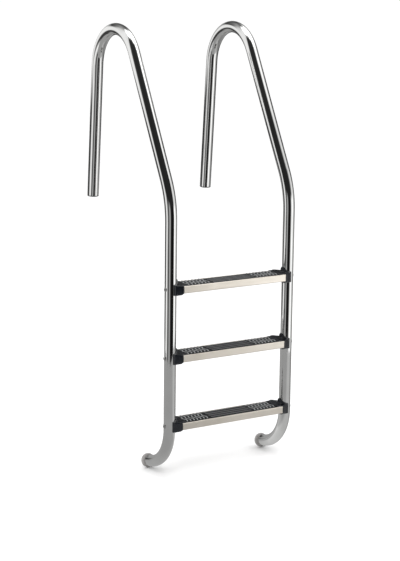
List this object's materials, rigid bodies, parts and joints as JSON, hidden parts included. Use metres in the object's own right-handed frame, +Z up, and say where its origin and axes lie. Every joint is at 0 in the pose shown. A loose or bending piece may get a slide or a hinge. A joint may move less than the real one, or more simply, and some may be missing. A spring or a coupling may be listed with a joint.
{
  "type": "pool ladder",
  "caption": "In-ground pool ladder: bent stainless tube handrails with hairpin tops and curled feet carry bolted steel treads with black anti-slip mats, moulded end caps and wall bumpers.",
  "frame": {"origin": "midway between the lower ends of the two deck legs, where they enter the deck anchors", "axes": "+Z up; +X along the treads from the left rail to the right rail as seen from the water; -Y towards the water, +Y towards the deck"},
  "size_m": [0.552, 0.6385, 1.6053],
  "materials": {
    "polished_tube": "mirror-polished stainless steel",
    "tread_sheet": "bright satin stainless sheet",
    "mat_plastic": "moulded black plastic with a ribbed anti-slip face",
    "cap_plastic": "black injection-moulded plastic, slightly glossy",
    "buffer_rubber": "matt grey rubber",
    "plug_plastic": "dark moulded plastic",
    "fastener_steel": "stainless fasteners"
  },
  "bodies": {
    "root": {"bottom_tread_bolts": "fastener_steel", "bottom_tread_cap_left": "cap_plastic", "bottom_tread_cap_right": "cap_plastic", "bottom_tread_mat": "mat_plastic", "bottom_tread_nuts": "fastener_steel", "bottom_tread_pan": "tread_sheet", "bottom_tread_saddle_washers": "fastener_steel", "bumper_screws": "fastener_steel", "deck_end_plug_left": "plug_plastic", "deck_end_plug_right": "plug_plastic", "middle_tread_bolts": "fastener_steel", "middle_tread_cap_left": "cap_plastic", "middle_tread_cap_right": "cap_plastic", "middle_tread_mat": "mat_plastic", "middle_tread_nuts": "fastener_steel", "middle_tread_pan": "tread_sheet", "middle_tread_saddle_washers": "fastener_steel", "rail_left": "polished_tube", "rail_right": "polished_tube", "top_tread_bolts": "fastener_steel", "top_tread_cap_left": "cap_plastic", "top_tread_cap_right": "cap_plastic", "top_tread_mat": "mat_plastic", "top_tread_nuts": "fastener_steel", "top_tread_pan": "tread_sheet", "top_tread_saddle_washers": "fastener_steel", "wall_bumper_left": "buffer_rubber", "wall_bumper_right": "buffer_rubber"}
  },
  "joints": []
}
